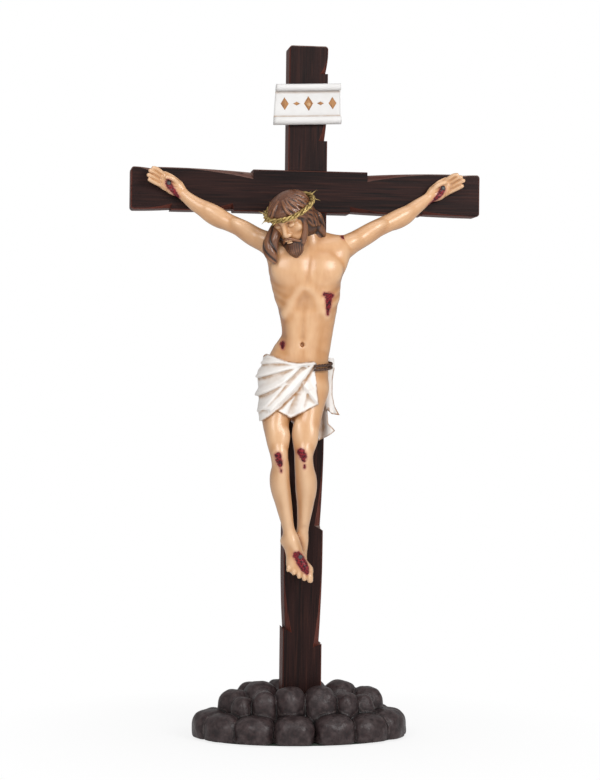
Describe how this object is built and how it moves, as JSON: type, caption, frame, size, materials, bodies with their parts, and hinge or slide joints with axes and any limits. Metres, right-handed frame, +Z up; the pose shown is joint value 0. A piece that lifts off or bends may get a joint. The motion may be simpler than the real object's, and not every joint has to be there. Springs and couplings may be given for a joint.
{
  "type": "standing crucifix",
  "caption": "Standing crucifix: lap-jointed dark wood cross with knife-cut edges on an oval base of stones, with a painted cast figure in a loincloth, nailed at hands and feet.",
  "frame": {"origin": "centre of the felt underside, below the post's axis", "axes": "+Z up along the post, +X to the viewer's right along the crossbeam, +Y from the front to the back"},
  "size_m": [0.305, 0.1402, 0.6],
  "materials": {
    "dark_wood": "dark stained, satin waxed",
    "screw_steel": "zinc plated",
    "rock_paint": "cast resin, dark stone paint, satin",
    "felt": "pressed felt",
    "board_paint": "cast resin, off-white paint",
    "dowel_wood": "bare beech",
    "skin_paint": "cast resin, painted, satin varnish",
    "crown_gilt": "aged gilt",
    "cloth_paint": "cast resin, off-white paint with brown hems",
    "cord_paint": "dark brown paint",
    "nail_iron": "dull grey"
  },
  "bodies": {
    "root": {"upright": "dark_wood", "crossbeam": "dark_wood", "lap_screws": "screw_steel", "rock_base": "rock_paint", "base_screw": "screw_steel", "base_washer": "screw_steel", "felt_pad": "felt", "titulus": "board_paint", "titulus_peg": "dowel_wood", "corpus_body": "skin_paint", "right_arm": "skin_paint", "left_arm": "skin_paint", "shoulder_dowels": "dowel_wood", "head": "skin_paint", "neck_dowel": "dowel_wood", "crown_of_thorns": "crown_gilt", "loincloth": "cloth_paint", "loincloth_tail": "cloth_paint", "hip_cord": "cord_paint", "hand_nails": "nail_iron", "foot_nail": "nail_iron"}
  },
  "joints": []
}
